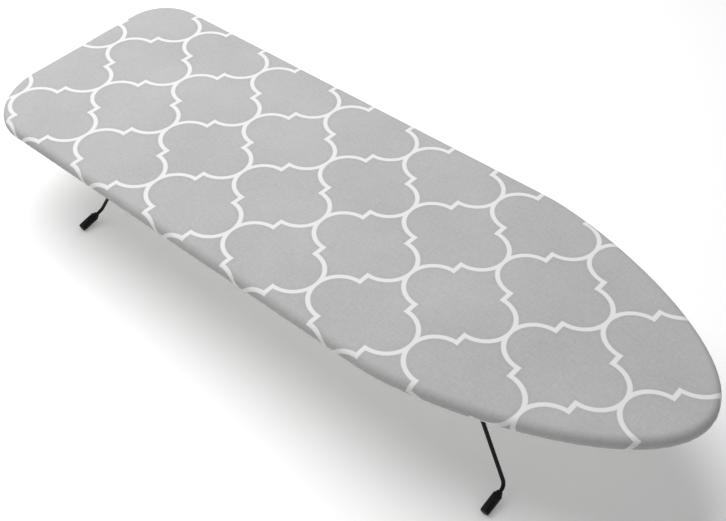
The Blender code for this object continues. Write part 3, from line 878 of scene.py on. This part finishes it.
def make_cover():
    """The cover without its thickness, and where its cut edge lies on the flat cloth."""
    shape = bmesh.new()
    rows = [first_row(shape, len(outline))]
    place_row(rows[0], *cover_row(*section[0]))
    for inset, height in section[1:]:
        rows.append(next_row(shape, rows[-1]))
        place_row(rows[-1], *cover_row(inset, height))
    close_top(shape, rows[0], EDGE_ACROSS, TOP_LEVEL, TOP_ROWS)
    bmesh.ops.recalc_face_normals(shape, faces=shape.faces)
    shape.verts.index_update()
    flat = np.array([vert.co[:2] for vert in shape.verts])
    edge = outline + inward * EDGE_ACROSS
    for row, distance in zip(rows[1:], travel[1:]):
        flat[[vert.index for vert in row]] = edge - inward * distance
    cover = add_mesh_object("printed_cotton_cover", shape, cotton)
    map_cut_cloth(cover.data, flat)
    return cover, edge - inward * travel[-1]


cover, cut_edge = make_cover()
print("cover", len(cover.data.polygons), "faces")

# %% [markdown]
# The sheet has no thickness yet. Solidify gives it the cloth's, growing inwards so that the
# printed face stays where it is. The cut cloth is as wide and long as the flat map's edge.

# %% Thickness


wall = cover.modifiers.new("cloth thickness", "SOLIDIFY")
wall.thickness = CLOTH_THICKNESS
wall.offset = -1.0
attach(cover, "board")
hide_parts("board_cover")

# %% [markdown]
# The foam underlay is a thin slab whose edge keeps inside the cover's round. It uses the same rows
# and the same dips, and its underside closes flat on the steel.

# %% Foam underlay
PAD_EDGE_GAP = 0.0013
pad_low, pad_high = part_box("foam_pad")


def pad_section():
    """(inset, height) pairs down the foam's edge, which thins the same way as the cover's round."""
    across = EDGE_ACROSS - CLOTH_THICKNESS - PAD_EDGE_GAP
    down = EDGE_DOWN - (TOP_LEVEL - pad_high.z)
    pairs = []
    for depth in np.linspace(0, pad_high.z - pad_low.z, 6):
        rise = max(1 - depth / down, 0.0)
        pairs.append((EDGE_ACROSS - across * sqrt(1 - rise**2), pad_high.z - depth))
    return pairs


def make_pad():
    shape = bmesh.new()
    pairs = pad_section()
    row = first_row(shape, len(outline))
    top = row
    points = outline + inward * pairs[0][0]
    place_row(row, points, [pairs[0][1] - dip(x, y) for x, y in points])
    for inset, height in pairs[1:]:
        row = next_row(shape, row)
        points = outline + inward * inset
        share = (height - pad_low.z) / (pad_high.z - pad_low.z)
        place_row(row, points, [height - share * dip(x, y) for x, y in points])
    shape.faces.new(row)
    close_top(shape, top, pairs[0][0], pairs[0][1], TOP_ROWS)
    bmesh.ops.recalc_face_normals(shape, faces=shape.faces)
    return add_mesh_object("foam_underlay", shape, foam)


pad = make_pad()
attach(pad, "board")
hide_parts("foam_pad")
print("foam", len(pad.data.polygons), "faces")

# %% [markdown]
# Elastic and thread are cords, so each is a curve with a round bevel, turned to mesh. A map of
# the distance along the cord goes with it, and its braid or twist follows that map.

# %% A cord along points


def mesh_of_curve(curve, join):
    """A curve object turned to a bmesh with its doubles merged; the curve is removed."""
    graph = bpy.context.evaluated_depsgraph_get()
    mesh = bpy.data.meshes.new_from_object(curve.evaluated_get(graph))
    bpy.data.objects.remove(curve)
    shape = bmesh.new()
    shape.from_mesh(mesh)
    bpy.data.meshes.remove(mesh)
    bmesh.ops.remove_doubles(shape, verts=shape.verts, dist=join)
    return shape


def tube(name, runs, radius, material, closed, resolution=2):
    """A mesh tube along each run of points."""
    data = bpy.data.curves.new(name, "CURVE")
    data.dimensions = "3D"
    data.bevel_depth = radius
    data.bevel_resolution = resolution
    data.use_fill_caps = not closed
    for run in runs:
        spline = data.splines.new("POLY")
        spline.points.add(len(run) - 1)
        for point, place in zip(spline.points, run):
            point.co = (*place, 1.0)
        spline.use_cyclic_u = closed
    curve = bpy.data.objects.new(name, data)
    bpy.context.scene.collection.objects.link(curve)
    bpy.context.view_layer.update()
    shape = mesh_of_curve(curve, 0.00001)
    bmesh.ops.recalc_face_normals(shape, faces=shape.faces)
    map_length(shape, runs, closed)
    return add_mesh_object(name, shape, material)


def map_length(shape, runs, closed):
    """Maps the distance along a tube and the share of the way round it."""
    layer = shape.loops.layers.uv.new("length")
    line = np.vstack(runs)
    ends = np.vstack([line[1:], line[:1]])
    run = np.concatenate([[0], np.cumsum(np.linalg.norm(ends - line, axis=1))])[:-1]
    for face in shape.faces:
        for corner in face.loops:
            place = np.array(corner.vert.co)
            nearest = int(np.argmin(((line - place) ** 2).sum(axis=1)))
            arm = place - line[nearest]
            ahead = ends[nearest] - line[nearest]
            side = np.array([ahead[1], -ahead[0], 0.0])
            turn = atan2(arm[2], float(arm @ side) / (np.linalg.norm(side) + 1e-9))
            corner[layer].uv = (run[nearest], turn / (2 * pi))


print("cords carry a map called length")

# %% [markdown]
# The elastic lies in the hem, and the stitches that close the hem run beside it. They are placed
# like rows of the cover, with the same puckers, so they stay in and on the cloth.

# %% Elastic and stitches
STITCH_FROM_HEM = 0.0042
STITCH_INSET = HEM_INSET - STITCH_FROM_HEM
STITCH_DROP = 0.0001
ELASTIC_RADIUS = 0.0005
THREAD_RADIUS = 0.00028


def hem_place(inset, height):
    """The hem's points at an inset and height, with its puckers."""
    points, heights = cover_row(inset, height)
    return np.column_stack([points, heights])


def stitch_runs():
    """Short runs of points with gaps between them, a hair below the lip."""
    share = (STITCH_INSET - LOWER_ROUND) / (HEM_INSET - LOWER_ROUND)
    height = LIP_LEVEL + (HEM_LOW - LIP_LEVEL) * share
    line = hem_place(STITCH_INSET, height - STITCH_DROP)
    return [line[first : first + 2] for first in range(0, len(line) - 1, 2)]


elastic_run = hem_place(HEM_INSET, HEM_LEVEL)
elastic = tube("hem_elastic_braid", [elastic_run], ELASTIC_RADIUS, braid, True)
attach(elastic, "board")
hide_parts("hem_elastic")
stitches = tube("hem_stitches", stitch_runs(), THREAD_RADIUS, thread, False, 1)
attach(stitches, "board")
print("elastic", len(elastic.data.polygons), "stitches", len(stitches.data.polygons), "faces")

# %% [markdown]
# The steel top has staggered round vents that let steam through. They keep clear of the rim, and
# whether one fits is a test against an outline set further in.

# %% Where the vents go
VENT_RADIUS = 0.0105
VENT_CLEAR = 0.0110
VENT_PITCH = 0.0440
VENT_MARGIN = 0.0070
rim_low, rim_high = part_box("rim_tube")
RIM_INNER = (HALF_WIDTH - rim_high.y) + (rim_high.z - rim_low.z)


def inside(x, y, loop):
    """Whether a point is inside a loop with no hollows, whichever way it runs."""
    ahead = np.roll(loop, -1, axis=0) - loop
    turn = ahead[:, 0] * (y - loop[:, 1]) - ahead[:, 1] * (x - loop[:, 0])
    return bool((turn > 0).all() or (turn < 0).all())


def vent_places():
    """The middles of the vents, in rows a half pitch apart, that keep clear of the rim."""
    row_pitch = VENT_PITCH * sin(pi / 3)
    limit = outline + inward * (RIM_INNER + VENT_MARGIN + VENT_CLEAR)
    rows = int(HALF_WIDTH / row_pitch)
    columns = int(TIP / VENT_PITCH) + 1
    places = []
    for row in range(-rows, rows + 1):
        shift = VENT_PITCH / 2 if row % 2 else 0.0
        for column in range(-columns, columns):
            place = (column * VENT_PITCH + shift, row * row_pitch)
            if inside(*place, limit):
                places.append(place)
    return places


vents = vent_places()
print("vents", len(vents))

# %% [markdown]
# A flat curve with holes in it fills and thickens itself, which spares cutting each hole, and its
# small bevel breaks the punched edges.

# %% Vented steel top
SHEET_EDGE_GAP = 0.0011
SHEET_INSET = CLOTH_THICKNESS + SHEET_EDGE_GAP
PUNCHED_EDGE = 0.00018
sheet_low, sheet_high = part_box("steel_top_sheet")


def add_loop(data, points):
    """One closed outline in a flat curve."""
    spline = data.splines.new("POLY")
    spline.points.add(len(points) - 1)
    for point, (x, y) in zip(spline.points, points):
        point.co = (x, y, 0.0, 1.0)
    spline.use_cyclic_u = True


def make_steel_top(vents):
    """The plate with its vents, at the sheet's own height."""
    data = bpy.data.curves.new("vented_steel_top", "CURVE")
    data.dimensions = "2D"
    data.fill_mode = "BOTH"
    data.bevel_depth = PUNCHED_EDGE
    data.bevel_resolution = 1
    data.extrude = (sheet_high.z - sheet_low.z) / 2 - PUNCHED_EDGE
    data.offset = -PUNCHED_EDGE
    add_loop(data, (outline + inward * SHEET_INSET)[::2])
    turns = np.linspace(0, 2 * pi, 33)[:-1]
    ring = [(VENT_RADIUS * cos(t), VENT_RADIUS * sin(t)) for t in turns]
    for x, y in vents:
        add_loop(data, [(x + a, y + b) for a, b in ring])
    curve = bpy.data.objects.new("vented_steel_top", data)
    bpy.context.scene.collection.objects.link(curve)
    bpy.context.view_layer.update()
    shape = mesh_of_curve(curve, 0.000005)
    bmesh.ops.translate(shape, vec=(0, 0, (sheet_low.z + sheet_high.z) / 2), verts=shape.verts)
    bmesh.ops.recalc_face_normals(shape, faces=shape.faces)
    made = add_mesh_object("vented_steel_top", shape, white_coat)
    made.data.set_sharp_from_angle(angle=radians(50))
    return made


steel_top = make_steel_top(vents)
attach(steel_top, "board")
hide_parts("steel_top_sheet")
print("steel top", len(steel_top.data.polygons), "faces")

# %% [markdown]
# The pressed and moulded pieces have the right shape already, but with knife edges and flat-sided
# rounds. A finished copy of such a piece joins its loose triangles, breaks its sharp edges with a
# small bevel and, where it is round, smooths it with subdivision. The wire's long runs have to stay
# straight, because they turn in close holes.

# %% Finished copies
LONG_RUN = 0.030
RING_STEP = 0.0020
BODY_OF = {
    name: body
    for body, names in frame["record"]["behaviour"]["bodies"].items()
    for name in names
}


def crease_straight_ends(shape):
    """Creases the rings at the ends of long runs, so that smoothing leaves the runs straight."""
    crease = shape.edges.layers.float.new("crease_edge")
    for run in [edge for edge in shape.edges if edge.calc_length() > LONG_RUN]:
        for vert in run.verts:
            for edge in vert.link_edges:
                edge[crease] = float(edge.calc_length() < RING_STEP)


def finished_copy(node, material, bevel=0.0, levels=0):
    """A copy of a frame node with its edges broken, which stands for it."""
    shape = bmesh.new()
    shape.from_mesh(frame["nodes"][node].data)
    bmesh.ops.remove_doubles(shape, verts=shape.verts, dist=0.000002)
    if levels:
        bmesh.ops.join_triangles(
            shape,
            faces=shape.faces,
            angle_face_threshold=radians(30),
            angle_shape_threshold=radians(60),
        )
        crease_straight_ends(shape)
    else:
        bmesh.ops.dissolve_limit(
            shape, angle_limit=radians(0.5), verts=shape.verts, edges=shape.edges
        )
    made = add_mesh_object(f"{node}_finished", shape, material)
    if bevel:
        edge = made.modifiers.new("broken edges", "BEVEL")
        edge.width = bevel
        edge.segments = 2
        edge.limit_method = "ANGLE"
        edge.angle_limit = radians(30)
        edge.harden_normals = not levels
    if levels:
        smooth = made.modifiers.new("smooth rounds", "SUBSURF")
        smooth.levels = levels
        smooth.render_levels = levels
    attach(made, BODY_OF[node])
    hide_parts(node)
    print(made.name, len(made.data.polygons), "faces")


# %% [markdown]
# Both ends of the board carry the same set of pieces. Thick moulded edges are rounder than those
# of pressed steel, and the wire needs no broken edges, only smoothing.

# %% Channels, braces, legs, brackets, clips and caps
CHANNEL_EDGE = 0.0003
BRACKET_EDGE = 0.00025
CLIP_EDGE = 0.00035
CAP_EDGE = 0.0004

for end in ("nose", "tail"):
    finished_copy(f"{end}_leg_channel", white_coat, CHANNEL_EDGE)
    finished_copy(f"{end}_clip_brace", white_coat, CHANNEL_EDGE)
    finished_copy(f"{end}_leg_wire", black_wire, levels=1)
    for side in ("near", "far"):
        corner = f"{end}_{side}"
        finished_copy(f"{corner}_leg_bracket", white_coat, BRACKET_EDGE)
        finished_copy(f"{corner}_storage_clip", nylon, CLIP_EDGE)
        finished_copy(f"{corner}_foot_cap", black_cap, CAP_EDGE, levels=1)

# %% [markdown]
# The rim and the rivets keep the frame's own meshes, and only take a finish.

# %% Finishes on the frame's own pieces
own_finish = {"rim_tube": white_coat}
own_finish.update({name: zinc for name in frame["nodes"] if "rivet" in name})
for name, finish in own_finish.items():
    frame["nodes"][name].data.materials.clear()
    frame["nodes"][name].data.materials.append(finish)
print("finished in place", len(own_finish), "pieces")
